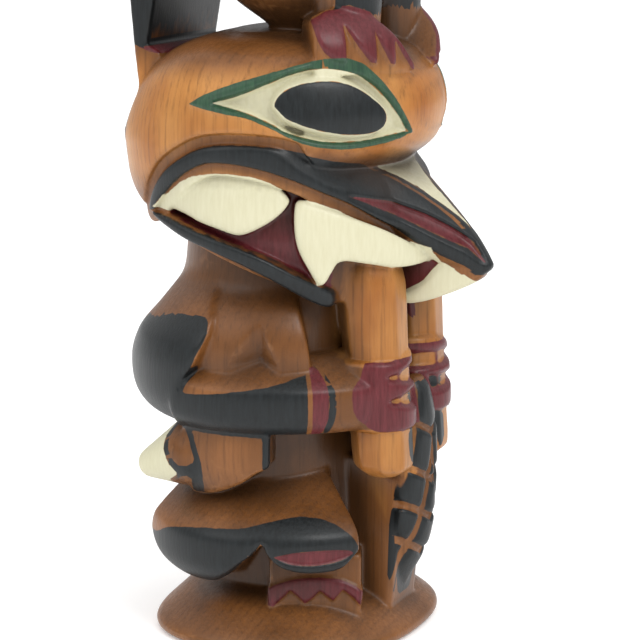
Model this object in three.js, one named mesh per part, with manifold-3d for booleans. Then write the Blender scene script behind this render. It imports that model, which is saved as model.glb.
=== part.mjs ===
// A carved and painted model totem pole, all one piece of cedar: a beaver gnawing two sticks,
// squatting on a low mound, with a plain bird standing on its head.
// Millimetres, +Z up. The origin is the middle of the flat underside and the beaver looks along -Y.
// The pole is cut the same on both sides of its middle plane, so each side feature is made twice.

import * as THREE from 'three';
import { mergeVertices } from 'three/addons/utils/BufferGeometryUtils.js';
import { ConvexGeometry } from 'three/addons/geometries/ConvexGeometry.js';
import Module from 'manifold-3d';

const wasm = await Module();
wasm.setup();

// ---- driving dimensions ----

const poleHeight = 350;
const headTop = 177; // top of the beaver's head, where the bird stands
const headRadius = 47;
const bodyRadius = 46; // reach of the arms and legs
const stickRadius = 9.6;
const stickSide = 14; // of each stick's axis, from the middle plane
const around = 22; // facets round a mass
const fewer = 12; // facets round a mass that only bounds or cuts another
const plain = 14; // facets round the bird

const wood = new THREE.MeshStandardMaterial({ color: 0x9a5f35, roughness: 0.5, metalness: 0 });

// ---- closed geometry to solid and back ----

function signedVolume(geometry) {
  const at = geometry.attributes.position;
  const index = geometry.index.array;
  const [a, b, c] = [new THREE.Vector3(), new THREE.Vector3(), new THREE.Vector3()];
  let total = 0;
  for (let i = 0; i < index.length; i += 3) {
    a.fromBufferAttribute(at, index[i]);
    b.fromBufferAttribute(at, index[i + 1]);
    c.fromBufferAttribute(at, index[i + 2]);
    total += a.dot(b.cross(c)) / 6;
  }
  return total;
}

function solid(geometry) {
  geometry.deleteAttribute('normal');
  geometry.deleteAttribute('uv');
  const merged = mergeVertices(geometry, 1e-4);
  const triVerts = Uint32Array.from(merged.index.array);
  if (signedVolume(merged) < 0) {
    for (let i = 0; i < triVerts.length; i += 3) {
      [triVerts[i], triVerts[i + 1]] = [triVerts[i + 1], triVerts[i]];
    }
  }
  const vertProperties = Float32Array.from(merged.attributes.position.array);
  return new wasm.Manifold(new wasm.Mesh({ numProp: 3, vertProperties, triVerts }));
}

function toGeometry(manifold) {
  const mesh = manifold.getMesh();
  const geometry = new THREE.BufferGeometry();
  geometry.setAttribute('position', new THREE.BufferAttribute(new Float32Array(mesh.vertProperties), 3));
  geometry.setIndex(new THREE.BufferAttribute(new Uint32Array(mesh.triVerts), 1));
  geometry.computeVertexNormals();
  return geometry;
}

const join = (...parts) => parts.reduce((a, b) => a.add(b));
const bothSides = (make) => join(make(1), make(-1));

// ---- the four ways a mass is made ----

// Stacked oval rings: height, half width, reach to the front, reach to the back, how square the
// oval is, and how far forward its middle lies.
function loft(rings, facets = around) {
  const geometry = new THREE.CylinderGeometry(1, 1, 1, facets, rings.length - 1);
  const at = geometry.attributes.position;
  for (let i = 0; i < at.count; i++) {
    const ring = rings[Math.round((at.getY(i) + 0.5) * (rings.length - 1))];
    const [z, width, front, back, square = 2, middle = 0] = ring;
    const [c, s] = [at.getX(i), at.getZ(i)];
    const size = Math.hypot(c, s);
    if (size < 1e-6) {
      at.setXYZ(i, 0, -middle, z);
      continue;
    }
    const reach = Math.pow(Math.pow(Math.abs(c / size), square) + Math.pow(Math.abs(s / size), square), -1 / square);
    const depth = s > 0 ? front : back;
    at.setXYZ(i, (c / size) * reach * width, -middle - (s / size) * reach * depth, z);
  }
  return solid(geometry);
}

// Radial prism over an outline of (degrees from the front, height). Side 1 is the figure's right.
function sector(outline, side, inner = 24, outer = 54) {
  const points = [];
  outline.forEach(([deg, z], i) => {
    const [deg2, z2] = outline[(i + 1) % outline.length];
    const steps = Math.max(1, Math.ceil(Math.abs(deg2 - deg) / 20));
    for (let k = 0; k < steps; k++) {
      points.push(new THREE.Vector2(deg + ((deg2 - deg) * k) / steps, z + ((z2 - z) * k) / steps));
    }
  });
  const geometry = new THREE.ExtrudeGeometry(new THREE.Shape(points), { depth: 1, steps: 1, bevelEnabled: false });
  const at = geometry.attributes.position;
  for (let i = 0; i < at.count; i++) {
    const angle = THREE.MathUtils.degToRad(at.getX(i));
    const r = inner + (outer - inner) * at.getZ(i);
    at.setXYZ(i, -side * r * Math.sin(angle), -r * Math.cos(angle), at.getY(i));
  }
  return solid(geometry);
}

// Smooth closed outline through a few points.
function rounded(points, steps = 20) {
  const curve = new THREE.SplineCurve([...points, points[0]].map(([a, b]) => new THREE.Vector2(a, b)));
  return curve.getPoints(steps).slice(0, -1).map((p) => [p.x, p.y]);
}

// Slab with a side view of (forward, height), from one distance off the middle plane to another.
function slab(outline, from, to) {
  const shape = new THREE.Shape(outline.map(([f, z]) => new THREE.Vector2(f, z)));
  const geometry = new THREE.ExtrudeGeometry(shape, { depth: to - from, bevelEnabled: false });
  const at = geometry.attributes.position;
  for (let i = 0; i < at.count; i++) {
    at.setXYZ(i, from + at.getZ(i), -at.getX(i), at.getY(i));
  }
  return solid(geometry);
}

// Band of an oval section along a smooth route of (side, forward, height).
function band(route, wide, high, side, steps = 16) {
  const points = route.map(([l, f, z]) => new THREE.Vector3(-side * l, -f, z));
  const section = new THREE.Shape(new THREE.EllipseCurve(0, 0, wide, high).getPoints(4).slice(0, -1));
  const curve = new THREE.CatmullRomCurve3(points);
  return solid(new THREE.ExtrudeGeometry(section, { steps, extrudePath: curve, bevelEnabled: false }));
}

// Point at an angle from the front, on a radius.
function onRadius(deg, radius, z) {
  const angle = THREE.MathUtils.degToRad(deg);
  return [radius * Math.sin(angle), radius * Math.cos(angle), z];
}

// Convex block round the points (side, forward, height).
function block(points, side) {
  return solid(new ConvexGeometry(points.map(([l, f, z]) => new THREE.Vector3(-side * l, -f, z))));
}

// Ball stretched and turned: its middle, its three half axes, and its turn about the height.
function ball(middle, radii, turn, side, facets = 14) {
  const geometry = new THREE.SphereGeometry(1, facets, facets / 2);
  geometry.scale(...radii);
  geometry.rotateZ(THREE.MathUtils.degToRad(-side * turn));
  geometry.translate(-side * middle[0], -middle[1], middle[2]);
  return solid(geometry);
}

// ---- base and trunk ----

function base() {
  return loft([
    [0, 42, 43, 35, 2.5],
    [3.2, 43, 44, 36, 2.5],
    [7, 40, 41, 33, 2.4],
    [12.5, 34, 35, 28, 2.2],
    [16, 20, 20, 16, 2],
  ]);
}

function trunk() {
  return loft([
    [8, 24, 24, 26],
    [34, 27, 26, 28],
    [50, 29, 25, 28],
    [62, 30, 25, 29],
    [72, 35, 25, 35],
    [84, 39, 26, 40],
    [94, 38, 27, 37],
    [104, 33, 28, 31],
    [116, 31, 28, 29],
    [134, 31, 28, 29],
  ]);
}

// ---- the beaver's legs, tail and base of its back ----

function leg(side) {
  const reach = loft([
    [17, 35, 35, 32],
    [22, 43, 43, 38],
    [30, bodyRadius, bodyRadius, 41],
    [38, 44, 44, 38],
    [46, 31, 31, 29],
  ], fewer);
  const outline = [
    [38, 33], [46, 41], [58, 44.5], [74, 42.5], [90, 41], [104, 40], [124, 39], [138, 33], [134, 24],
    [112, 20], [98, 19], [88, 25], [76, 31], [74, 26], [40, 26],
  ];
  return sector(outline, side).intersect(reach);
}

const footDegrees = 66; // way the toes point
const footReach = 34;

// Place on the foot: across it, along it from the pole's axis, and height.
function footPoint(across, along, z) {
  const angle = THREE.MathUtils.degToRad(footDegrees);
  const [s, c] = [Math.sin(angle), Math.cos(angle)];
  return [along * s - across * c, along * c + across * s, z];
}

function foot(side) {
  const [left, right] = [-5.5, 22];
  const corners = [];
  for (const across of [left, right]) {
    corners.push(footPoint(across, 18, 8), footPoint(across, 18, 30));
    corners.push(footPoint(across, footReach, 8), footPoint(across, footReach - 2, 28));
  }
  const claws = [0, 1, 2, 3].map((i) => {
    const middle = left + ((right - left) * (i + 0.5)) / 4;
    const [top, tip] = [21, 11];
    return block(
      [
        footPoint(middle - 3.3, footReach - 4, top), footPoint(middle + 3.3, footReach - 4, top),
        footPoint(middle - 3.3, footReach + 1, top - 1), footPoint(middle + 3.3, footReach + 1, top - 1),
        footPoint(middle, footReach - 3, tip), footPoint(middle, footReach + 2.2, tip),
      ],
      side,
    );
  });
  return join(block(corners, side), ...claws);
}

function tail() {
  const plate = loft(
    [
      [14, 7, 4, 8, 2.6, 35],
      [24, 9, 5, 8, 2.6, 37],
      [40, 12, 6, 8, 2.6, 39.5],
      [56, 14, 6, 7, 2.6, 41.5],
      [68, 14, 5.5, 5, 2.6, 41],
      [77, 12, 3, 3, 2.6, 41],
    ],
    14,
  );
  const cuts = [];
  for (const [z, slope] of [[26, -1.5], [38, -1.5], [50, -1], [62, 0]]) {
    cuts.push(slab([[40 + slope, z - 0.4], [43 + slope, z - 0.4], [58, z - 2.4], [58, z + 2.4], [43 + slope, z + 0.4]], -20, 20));
  }
  const column = (l) => slab([[41.5, 30], [43, 30], [45.5, 50], [45.5, 78], [60, 78], [60, 16], [36, 16]], l - 0.6, l + 0.6);
  const pillar = slab([[18, 8], [38, 8], [40, 30], [40, 48], [30, 54], [18, 54]], -10, 10);
  return join(pillar, plate).subtract(join(...cuts, column(4.2), column(-4.2)));
}

// ---- the beaver's arms and sticks ----

function arm(side) {
  const reach = loft([
    [63, 38, 38, 39],
    [69, 44.5, 44.5, 44],
    [78, bodyRadius, bodyRadius, bodyRadius],
    [88, bodyRadius, bodyRadius, 45],
    [96, 43, 43, 41],
    [104, 35, 35, 34],
  ], fewer);
  const outline = [
    [34, 67], [34, 83], [62, 85], [80, 82], [97, 80], [104, 84], [97, 92], [96, 99], [110, 104],
    [130, 104], [150, 100], [156, 88], [150, 76], [130, 67.5], [105, 66.5], [70, 67],
  ];
  return sector(outline, side).intersect(reach);
}

function chest(side) {
  const reach = loft([[78, 41, 38, 41], [92, 41, 38, 41], [99, 38, 36, 38], [105, 33, 32, 32]], fewer);
  return sector([[52, 80], [62, 100], [73, 103], [76.5, 88], [80, 103], [104, 104], [104, 78]], side, 24).intersect(reach);
}

const stickFoot = [stickSide, 37.5, 52];
const stickHead = [stickSide, 32.5, 114];

function stickAt(z) {
  const t = (z - stickFoot[2]) / (stickHead[2] - stickFoot[2]);
  return stickFoot[1] + (stickHead[1] - stickFoot[1]) * t;
}

function stick(side) {
  const rings = [[52, 6.5], [55, 8.6], [70, 9], [84, stickRadius], [106, stickRadius + 0.4], [114, 7.5]];
  const shape = rings.map(([z, r]) => [z, r, r, r, 2, stickAt(z)]);
  return loft(shape, 8).translate([-side * stickSide, 0, 0]);
}

function hand(side) {
  const radius = 11.4;
  const middle = stickAt(76) - 1.5;
  const palm = loft(
    [
      [66, radius - 2, radius - 1.5, radius - 1, 2, middle],
      [69, radius, radius, radius, 2, middle],
      [82, radius, radius, radius, 2, middle],
      [86, radius - 2, radius - 1.5, radius - 1, 2, middle],
    ],
    18,
  ).translate([-side * stickSide, 0, 0]);
  const gaps = [70.5, 76, 81.5].map((z) => {
    const [l, f] = [stickSide, middle + 6];
    return block(
      [
        [l - 16, f - 2, z - 0.7], [l - 16, f - 2, z + 0.7], [l + 4, f + 2, z], [l - 16, f + 18, z - 1.6],
        [l - 16, f + 18, z + 1.6], [l + 8, f + 18, z - 1], [l + 8, f + 18, z + 1],
      ],
      side,
    );
  });
  return palm.subtract(join(...gaps));
}

// ---- the small head at the beaver's waist, pointing back ----

function waistHead(side) {
  const reach = loft([[45, 39, 39, 39], [55, 42, 42, 42], [70, 42, 42, 42]], fewer);
  const root = sector([[71, 49], [71, 69], [112, 69], [112, 46]], side, 24).intersect(reach);
  return join(root, ball([32.5, -17.5, 54.5], [9, 17.5, 9], 10, side, 10));
}

// ---- the beaver's head ----

// Slanting cut under the jaw, from high at the back to low at the front.
const jawCut = [[-60, 141.5], [60, 89], [60, 60], [-60, 60]];

function skull() {
  return loft([
    [90, 34, 34, 32],
    [112, 40, 38, 39],
    [126, 44, 36, 45],
    [137, 46.2, 36.8, 47.5],
    [141, 46.6, 40, 47.8],
    [147, headRadius, 44, 48.2],
    [157, headRadius, 46.8, 44.5],
    [165, 46, 45, 39.5],
    [170, 44.5, 41.5, 34.5],
    [174, 42, 37, 28],
    [headTop, 36, 28, 20],
  ]);
}

// The snout, as the corners of one flank: along the nose, the crease beside it, its lower edge, and inside the head.
const flank = [
  [16, 33, 139.5], [6.5, 38, 138], [2.5, 42.3, 135], [2.3, 46.6, 132.4], [2.1, 50.9, 129.5], [2, 55, 126.2], [1.8, 59.2, 121.8], [1.6, 62.8, 116.8], [1.4, 65.4, 112.2],
  [15.5, 40, 127.5], [12.5, 46.3, 123.8], [9.8, 51.5, 120.4], [7, 56.5, 117.9], [4.2, 61.4, 114.8], [2.6, 64.4, 112],
  [15, 41.5, 124], [12.2, 46.6, 120.6], [9.4, 51.2, 117.3], [6.4, 56.8, 114], [4, 60.4, 111.8], [2.4, 63.6, 110.5],
  [22, 33, 132.5], [20, 20, 128], [12, 20, 141], [8, 20, 114],
];

function snout() {
  return block([...flank, ...flank.map(([l, f, z]) => [-l, f, z])], 1);
}

const mouth = [
  [124, 129], [112, 138], [100, 143], [84, 144], [66, 140], [50, 134.5], [38, 127], [24, 119], [0, 112],
  [0, 96], [48, 103], [54, 106.5], [80, 117.5], [98, 124],
];

function cheekTeeth(side) {
  const reach = loft([[104, 40, 45, 38], [118, 43, 47, 43], [130, 45, 46, 45], [142, 43, 42, 43], [148, 38, 38, 38]], fewer);
  const rear = rounded([[119, 130], [107, 138], [93, 141.5], [79, 140], [65, 133.5], [74, 124.5], [93, 124.5]], 10);
  const fore = [[60, 134.5], [50, 133.5], [30, 125.5], [14, 117.5], [28, 113.5], [44, 113], [52, 110.5], [61, 119]];
  return join(sector(rear, side), sector(fore, side)).intersect(reach);
}

function frontTeeth() {
  const outline = [[36, 118], [63.5, 112.5], [62.5, 109], [58, 104.5], [50, 101.5], [42, 100.5], [38, 103]];
  const side = slab(outline, -6, 6);
  const gap = slab([[58, 125], [80, 125], [80, 90], [40, 90], [50, 106]], -0.6, 0.6);
  return side.subtract(gap);
}

function lips(side) {
  const upper = [
    onRadius(128, 44, 127), onRadius(118, 44.5, 136), onRadius(104, 45, 143.5), onRadius(86, 46, 147),
    onRadius(68, 45.5, 145), onRadius(52, 43.8, 139.5), [25.5, 34.5, 131.5], [18, 39, 127.2], [12, 43.8, 123],
    [8, 50.5, 119.2], [4.8, 56.4, 116.3], [2.4, 61, 113.6],
  ];
  const lower = [
    onRadius(128, 44, 127), onRadius(112, 44, 123), onRadius(90, 43, 116.5), onRadius(68, 40.5, 108.5), onRadius(46, 37, 101.5),
  ];
  return join(band(upper, 3.6, 2.6, side, 11), band(lower, 2.6, 2, side, 5));
}

function nostril(side) {
  const hollow = [[16, 37.5, 132.5], [10.5, 41.5, 130.5], [5, 52.5, 125], [2.6, 61.5, 117], [6.2, 53.5, 121.6], [12, 41.5, 127.5]];
  const inward = hollow.map(([l, f, z]) => [l - 1, f - 0.8, z - 0.8]);
  const outward = hollow.map(([l, f, z]) => [l + 3, f + 2.5, z + 2.5]);
  return block([...inward.slice(0, 3), ...outward], side);
}

const eyeRim = [
  [101, 160], [84, 167], [66, 171.5], [49, 173.5], [33, 170], [22, 161.5], [14, 151.5], [30, 148.5], [49, 147.5],
  [66, 150.5], [83, 156.5],
];
const eyeHollow = [
  [93, 160.5], [79, 164.5], [63, 168.5], [48, 170], [34, 167], [24, 159.5], [17, 152], [33, 151.5], [50, 150.5],
  [64, 153.5], [79, 158.5],
];

function eyeSurround(side) {
  const reach = loft([[140, 47, 43, 48], [150, 48.6, 47.5, 49], [160, 48.6, 48.2, 48], [170, 46.8, 45, 46], [180, 40, 36, 40]]);
  return sector(eyeRim, side).intersect(reach);
}

function eyeCut(side) {
  const floor = loft([[140, 45, 41, 46], [150, 45, 43.5, 46], [160, 44.8, 44, 45], [170, 43, 40, 43], [180, 38, 36, 38]]);
  return sector(eyeHollow, side).subtract(floor);
}

function eyeball(side) {
  const [l, f] = onRadius(50, 41.5, 0);
  return ball([l, f, 159.5], [14.5, 6.2, 7.8], 50, side, 8);
}

function beaverHead() {
  let head = join(skull(), snout()).subtract(slab(jawCut, -70, 70));
  const cavity = loft([[90, 36, 40, 34], [104, 37, 41, 36], [120, 38, 42, 38], [135, 38, 40, 39], [150, 38, 38, 39]], fewer);
  head = head.subtract(bothSides((side) => sector(mouth, side, 32, 80)).subtract(cavity));
  head = join(head, bothSides(cheekTeeth), frontTeeth(), bothSides(lips), bothSides(eyeSurround));
  head = head.subtract(bothSides(nostril)).subtract(bothSides(eyeCut));
  return head.add(bothSides(eyeball));
}

// ---- the bird that stands on the beaver's head ----

function birdBody() {
  return loft([
    [168, 15, 12, 9, 2, 9],
    [178, 16, 13, 10, 2, 9],
    [188, 25, 24, 20, 2, 6],
    [202, 33, 30, 30, 2, 3],
    [225, 36, 33, 37, 2],
    [250, 35, 32, 37, 2],
    [268, 30, 28, 33, 2],
    [280, 27, 27, 29, 2],
  ], plain);
}

function birdTail() {
  return slab([[-31, 236], [-38.5, 236], [-40, 190], [-38.4, 172], [-36, 152], [-28, 156], [-30, 172], [-34, 174], [-31.5, 188]], -23, 23);
}

function birdLeg(side) {
  const shin = loft(
    [[172, 9, 10, 10], [184, 9, 10, 10], [196, 10, 11, 11], [214, 11, 12, 12]], 8,
  ).translate([-side * 15, -26, 0]);
  const claws = block(
    [
      ...[12, 33, 55].flatMap((deg) => [onRadius(deg, 30, 168.5), onRadius(deg, 46, 168.5), onRadius(deg, 45, 177)]),
      onRadius(20, 36, 184), onRadius(50, 34, 184), onRadius(34, 36, 185), onRadius(36, 24, 184),
    ],
    side,
  );
  const gaps = [22.5, 33.5, 44.5].map((deg) => block(
    [
      onRadius(deg, 40, 182), onRadius(deg - 2.8, 40, 167), onRadius(deg + 2.8, 40, 167),
      onRadius(deg, 50, 181), onRadius(deg - 2.8, 50, 167), onRadius(deg + 2.8, 50, 167),
    ],
    side,
  ));
  return join(shin, claws.subtract(join(...gaps)));
}

function wing(side) {
  const reach = loft([
    [194, 38, 38, 38],
    [214, 42, 40, 42],
    [245, 44, 41, 44],
    [266, 41, 38, 41],
    [276, 33, 31, 34],
  ], fewer);
  const outline = [
    [62, 250], [74, 268], [100, 274], [128, 266], [142, 246], [150, 212], [143, 200], [134, 214],
    [126, 198], [117, 212], [108, 198], [99, 214], [84, 226],
  ];
  return sector(outline, side).intersect(reach);
}

function birdHead(side) {
  const reach = loft([[292, 36, 34, 36], [308, 37.5, 37, 37], [322, 36, 36, 35], [336, 30, 30, 30]], plain);
  const rim = rounded([[98, 312], [74, 322], [48, 325], [30, 314], [48, 304], [76, 304]], 10);
  const hollow = rounded([[89, 312], [72, 319], [50, 321.5], [37, 314], [50, 307.5], [73, 307.5]], 10);
  const floor = loft([[290, 32.5, 31, 33], [308, 33.5, 33, 33], [322, 32, 32, 31], [336, 27, 27, 27]], plain);
  const [l, f] = onRadius(58, 29.5, 0);
  return [
    sector(rim, side).intersect(reach),
    sector(hollow, side).subtract(floor),
    ball([l, f, 314.5], [9.5, 6, 5.6], 58, side, 8),
  ];
}

function birdCrown() {
  const skullRings = [
    [272, 26, 26, 28],
    [284, 32, 31, 33],
    [298, 35, 33.5, 35.5],
    [312, 35.5, 35, 35],
    [326, 33.5, 33.5, 33],
    [338, 28.5, 28.5, 29],
    [346, 20, 20, 21],
    [poleHeight, 10, 10, 11],
  ];
  const beakSide = [[20, 314], [34, 311], [48, 304], [57, 294], [59, 283], [54, 281], [48, 287], [38, 290], [20, 290]];
  const beakTop = loft([[276, 8, 52, 4, 1.7, 8], [290, 14, 50, 4, 1.7, 8], [304, 13, 42, 4, 1.7, 8], [318, 9, 28, 4, 1.7, 8]], fewer);
  const beak = slab(beakSide, -20, 20).intersect(beakTop);
  const sides = [birdHead(1), birdHead(-1)];
  let head = join(loft(skullRings, plain), beak, sides[0][0], sides[1][0]);
  head = head.subtract(join(sides[0][1], sides[1][1]));
  return join(head, sides[0][2], sides[1][2]);
}

// ---- the whole pole ----

const beaver = join(
  base(), trunk(), bothSides(leg), bothSides(foot), tail(), bothSides(chest), bothSides(arm), bothSides(stick),
  bothSides(hand), bothSides(waistHead), beaverHead(),
);
const bird = join(birdBody(), birdTail(), bothSides(birdLeg), bothSides(wing), birdCrown());

const pole = new THREE.Mesh(toGeometry(beaver.add(bird)), wood);
pole.name = 'totem_pole';

const group = new THREE.Group();
group.add(pole);

export default group;
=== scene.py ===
import math

import bmesh
import bpy
import numpy as np
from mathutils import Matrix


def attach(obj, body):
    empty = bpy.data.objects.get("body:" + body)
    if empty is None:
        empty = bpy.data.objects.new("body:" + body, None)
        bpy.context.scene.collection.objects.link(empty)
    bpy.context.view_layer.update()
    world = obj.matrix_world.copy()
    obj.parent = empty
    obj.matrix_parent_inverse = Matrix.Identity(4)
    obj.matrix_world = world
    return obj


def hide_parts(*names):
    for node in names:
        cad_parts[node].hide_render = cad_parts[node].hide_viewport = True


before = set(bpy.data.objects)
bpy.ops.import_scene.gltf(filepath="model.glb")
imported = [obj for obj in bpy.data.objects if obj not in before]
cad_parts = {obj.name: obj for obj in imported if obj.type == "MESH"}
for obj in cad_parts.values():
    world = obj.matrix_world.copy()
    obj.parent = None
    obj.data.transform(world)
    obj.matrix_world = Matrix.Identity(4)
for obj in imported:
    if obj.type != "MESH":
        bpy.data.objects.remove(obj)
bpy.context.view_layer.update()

import openvdb
from mathutils import Matrix, Vector

# A model totem pole carved in one piece: a beaver gnawing two sticks under a standing bird.
# The carving is worked out as a field of distances on a regular grid: below zero is wood, above is
# air. Each mass is a formula for the distance to its surface; masses are joined by the smaller
# distance and cut by the larger, and the zero surface becomes the mesh. The pole is carved alike on
# both sides, so the field is worked out for one side and mirrored.
# Lengths are millimetres until the mesh is made. A place is (side, forward, height), or degrees
# round from the front and a height.

grid = {
    "cell": 0.55,
    "side": 51.0,
    "front": 70.0,
    "back": 44.0,
    "top": 351.0,
    "triangles": 196000,
}
cell = grid["cell"]
sides = np.arange(0, int(grid["side"] / cell) + 2) * cell
forwards = np.arange(-int(grid["back"] / cell) - 1, int(grid["front"] / cell) + 2) * cell
heights = np.arange(-3, int(grid["top"] / cell) + 3) * cell
sideGrid = sides[:, None, None].astype(np.float32)
forwardGrid = forwards[None, :, None].astype(np.float32)
arcRadius = 46.0  # where degrees and millimetres of arc are matched
degree = arcRadius * math.pi / 180.0
field = np.full((len(sides), len(forwards), len(heights)), 20.0, np.float32)


# The smaller of two distances, eased where they are within blend of each other.
def softMin(a, b, blend):
    if blend <= 0.0:
        return np.minimum(a, b)
    near = np.maximum(blend - np.abs(a - b), 0.0) / blend
    return np.minimum(a, b) - near * near * (blend * 0.25)


# The larger of two distances, eased likewise.
def softMax(a, b, blend):
    return -softMin(-a, -b, blend)


# The grid's rows between two heights, as a slice, and the heights of those rows.
def rowsBetween(low, high):
    part = slice(max(0, int(np.searchsorted(heights, low)) - 1), int(np.searchsorted(heights, high)) + 1)
    return part, heights[part][None, None, :].astype(np.float32)


# Add a mass to the field over some of its rows.
def join(part, distance, blend=0.0):
    field[:, :, part] = softMin(field[:, :, part], distance, blend)


# Curve through points by cubic pieces whose slope at each point is that of its neighbours.
def through(points, count):
    p = np.asarray(points, float)
    ends = np.vstack([2 * p[0] - p[1], p, 2 * p[-1] - p[-2]])
    slopes = (ends[2:] - ends[:-2]) / 2
    t = np.linspace(0, len(p) - 1, (len(p) - 1) * count + 1)
    i = np.minimum(t.astype(int), len(p) - 2)
    u = (t - i)[:, None]
    a, b = p[i], p[i + 1]
    start = (2 * u**3 - 3 * u**2 + 1) * a + (u**3 - 2 * u**2 + u) * slopes[i]
    return start + (3 * u**2 - 2 * u**3) * b + (u**3 - u**2) * slopes[i + 1]


# Closed outline of curves that meet at corners. Each curve starts where the one before it ends, the
# last ends at the start, and a curve with one point is a straight line.
def outline(start, *curves, count=5):
    pieces = []
    for curve in curves:
        route = [start, *curve]
        pieces.append(through(route, 1 if len(route) == 2 else count)[:-1])
        start = route[-1]
    return np.vstack(pieces)


# Closed smooth outline with no corner.
def ring(points, count=5):
    return through([*points[-2:], *points, *points[:2]], count)[2 * count:-2 * count]


# Distance to a closed polygon: the nearest edge, negative inside by the crossing count.
def polygonDistance(points, a, b):
    best = np.full(np.broadcast(a, b).shape, 1e9, np.float32)
    inside = np.zeros(best.shape, bool)
    for (ax, ay), (bx, by) in zip(points, np.roll(points, -1, axis=0)):
        ex, ey = bx - ax, by - ay
        px, py = a - ax, b - ay
        t = np.clip((px * ex + py * ey) / (ex * ex + ey * ey + 1e-12), 0, 1)
        np.minimum(best, (px - t * ex) ** 2 + (py - t * ey) ** 2, out=best)
        if by != ay:
            inside ^= ((ay > b) != (by > b)) & (a < ax + (b - ay) * ex / ey)
    best = np.sqrt(best)
    return np.where(inside, -best, best)


# Distance to an open line and how far along it the nearest point lies, from 0 to 1.
def lineDistance(points, a, b):
    points = np.asarray(points, float)
    lengths = np.hypot(*np.diff(points, axis=0).T)
    total, done = lengths.sum(), 0.0
    best = np.full(np.broadcast(a, b).shape, 1e9, np.float32)
    along = np.zeros(best.shape, np.float32)
    for (ax, ay), (bx, by), length in zip(points[:-1], points[1:], lengths):
        ex, ey = bx - ax, by - ay
        px, py = a - ax, b - ay
        t = np.clip((px * ex + py * ey) / (length * length + 1e-12), 0, 1)
        d = (px - t * ex) ** 2 + (py - t * ey) ** 2
        closer = d < best
        best = np.where(closer, d, best)
        along = np.where(closer, (done + t * length) / total, along)
        done += length
    return np.sqrt(best), along


# Outline in millimetres of arc and height, from one in degrees and height.
def wrapped(degreesHeights):
    return np.asarray(degreesHeights, float) * [degree, 1.0]


# Distance to a prism that stands out from the axis over an outline in degrees and height, on the
# grid.
def radial(points, part):
    arcs = np.arange(-12, 190 * degree, 0.5)
    table = polygonDistance(wrapped(points), arcs[:, None], heights[part][None, :])
    arc = np.degrees(np.arctan2(sideGrid[:, :, 0], forwardGrid[:, :, 0])) * degree
    place = (arc - arcs[0]) / 0.5
    low = np.clip(place.astype(int), 0, len(arcs) - 2)
    share = (place - low)[:, :, None].astype(np.float32)
    return table[low] * (1 - share) + table[low + 1] * share


# Distance to a slab of endless width with an outline of (forward, height), on the grid.
def sideView(points, part):
    table = polygonDistance(np.asarray(points, float), forwards[:, None], heights[part][None, :])
    return table[None, :, :]


# Distance to stacked ovals: at each height r - r / p, where r is the distance from the middle and p =
# ((side / width)^n + (forward / reach)^n)^(1/n), with n how square the oval is.
def loft(rings, side, forward, z, sideAt=0.0, facets=0, turn=0.0):
    table = np.array([list(r) + [2, 0][len(r) - 4:] if len(r) < 6 else list(r) for r in rings], float)
    fine = through(table, 8)
    at = np.clip(z, fine[0, 0], fine[-1, 0])
    width, front, back, square, middle = (
        np.interp(at, fine[:, 0], column).astype(np.float32) for column in fine.T[1:])
    s = side - sideAt
    f = forward - middle
    r = np.hypot(s, f) + 1e-4
    if facets:
        step = 2 * math.pi / facets
        angle = np.arctan2(s, f) + turn
        flat = np.cos(np.mod(angle, step) - step / 2) / math.cos(step / 2)
        p = r * flat / width
    else:
        depth = np.where(f > 0, front, back)
        if np.all(table[:, 3] == 2):
            p = np.sqrt((s / width) ** 2 + (f / depth) ** 2)
        else:
            p = ((np.abs(s) / width) ** square + (np.abs(f) / depth) ** square) ** (1 / square)
    p = np.maximum(p, 1e-4)
    return softMax(r - r / p, np.maximum(fine[0, 0] - z, z - fine[-1, 0]), 1.2).astype(np.float32)


# The same distance over the grid.
def stack(rings, z, *shape, **more):
    return loft(rings, sideGrid, forwardGrid, z, *shape, **more)


# Distance to a block: the largest distance beyond any face of the hull round the points.
def hull(points, side, forward, z, edge=0.6):
    block = bmesh.new()
    for p in points:
        block.verts.new(p)
    bmesh.ops.convex_hull(block, input=block.verts)
    block.normal_update()
    middle = np.mean(points, axis=0)
    faces = {}
    for face in block.faces:
        n, c = np.array(face.normal), np.array(face.verts[0].co)
        if n @ (c - middle) < 0:
            n = -n
        faces[tuple(np.round(n, 2))] = (n, n @ c)
    block.free()
    best = None
    for n, d in faces.values():
        out = side * np.float32(n[0]) + forward * np.float32(n[1]) + z * np.float32(n[2]) - np.float32(d)
        best = out if best is None else softMax(best, out, edge)
    return best


# Distance to a round cone with round ends: from its axis, less the radius at the nearest place on it.
def horn(start, end, radii, side, forward, z):
    e = np.subtract(end, start)
    lean = (radii[0] - radii[1]) / np.linalg.norm(e)
    a, b, c = side - start[0], forward - start[1], z - start[2]
    t = (a * e[0] + b * e[1] + c * e[2]) / (e @ e)
    off = np.sqrt(np.maximum(a * a + b * b + c * c - t * t * (e @ e), 0))
    t = np.clip(t - off * lean / math.sqrt(1 - lean**2) / np.linalg.norm(e), 0, 1)
    away = np.sqrt((a - t * e[0]) ** 2 + (b - t * e[1]) ** 2 + (c - t * e[2]) ** 2)
    return away - (radii[0] + t * (radii[1] - radii[0]))


# Height of a plateau inside an outline: height x t^2 (3 - 2 t), where t climbs from 0 to 1 over slope
# millimetres across the outline.
def rise(distance, height, slope):
    t = np.clip(0.5 - distance / slope, 0, 1)
    return height * t * t * (3 - 2 * t)


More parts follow.
